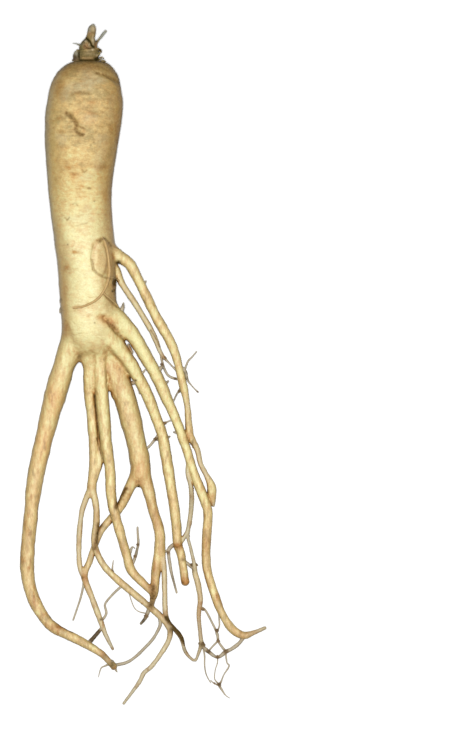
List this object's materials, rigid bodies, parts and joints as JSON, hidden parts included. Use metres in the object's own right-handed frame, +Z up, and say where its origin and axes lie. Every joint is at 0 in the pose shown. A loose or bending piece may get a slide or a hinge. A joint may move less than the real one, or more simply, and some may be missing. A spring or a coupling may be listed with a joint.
{
  "type": "balloon flower root",
  "caption": "Whole fresh balloon flower root lying on its side: a stout pale taproot that forks into long tangled branch roots and rootlets, with a small brown crown.",
  "frame": {"origin": "on the surface that the root lies on, under the middle of its bounding box", "axes": "+Y from the root tips to the crown, along the root's length; +Z up from the surface, the root's shortest way; +X across, towards the side where most branch roots leave the taproot"},
  "size_m": [0.1033, 0.287, 0.0292],
  "materials": {
    "root_skin": "pale tan root skin, dull with a faint sheen",
    "crown_bark": "dry rough brown bark"
  },
  "bodies": {
    "root": {"root": "root_skin", "crown": "crown_bark"}
  },
  "joints": []
}
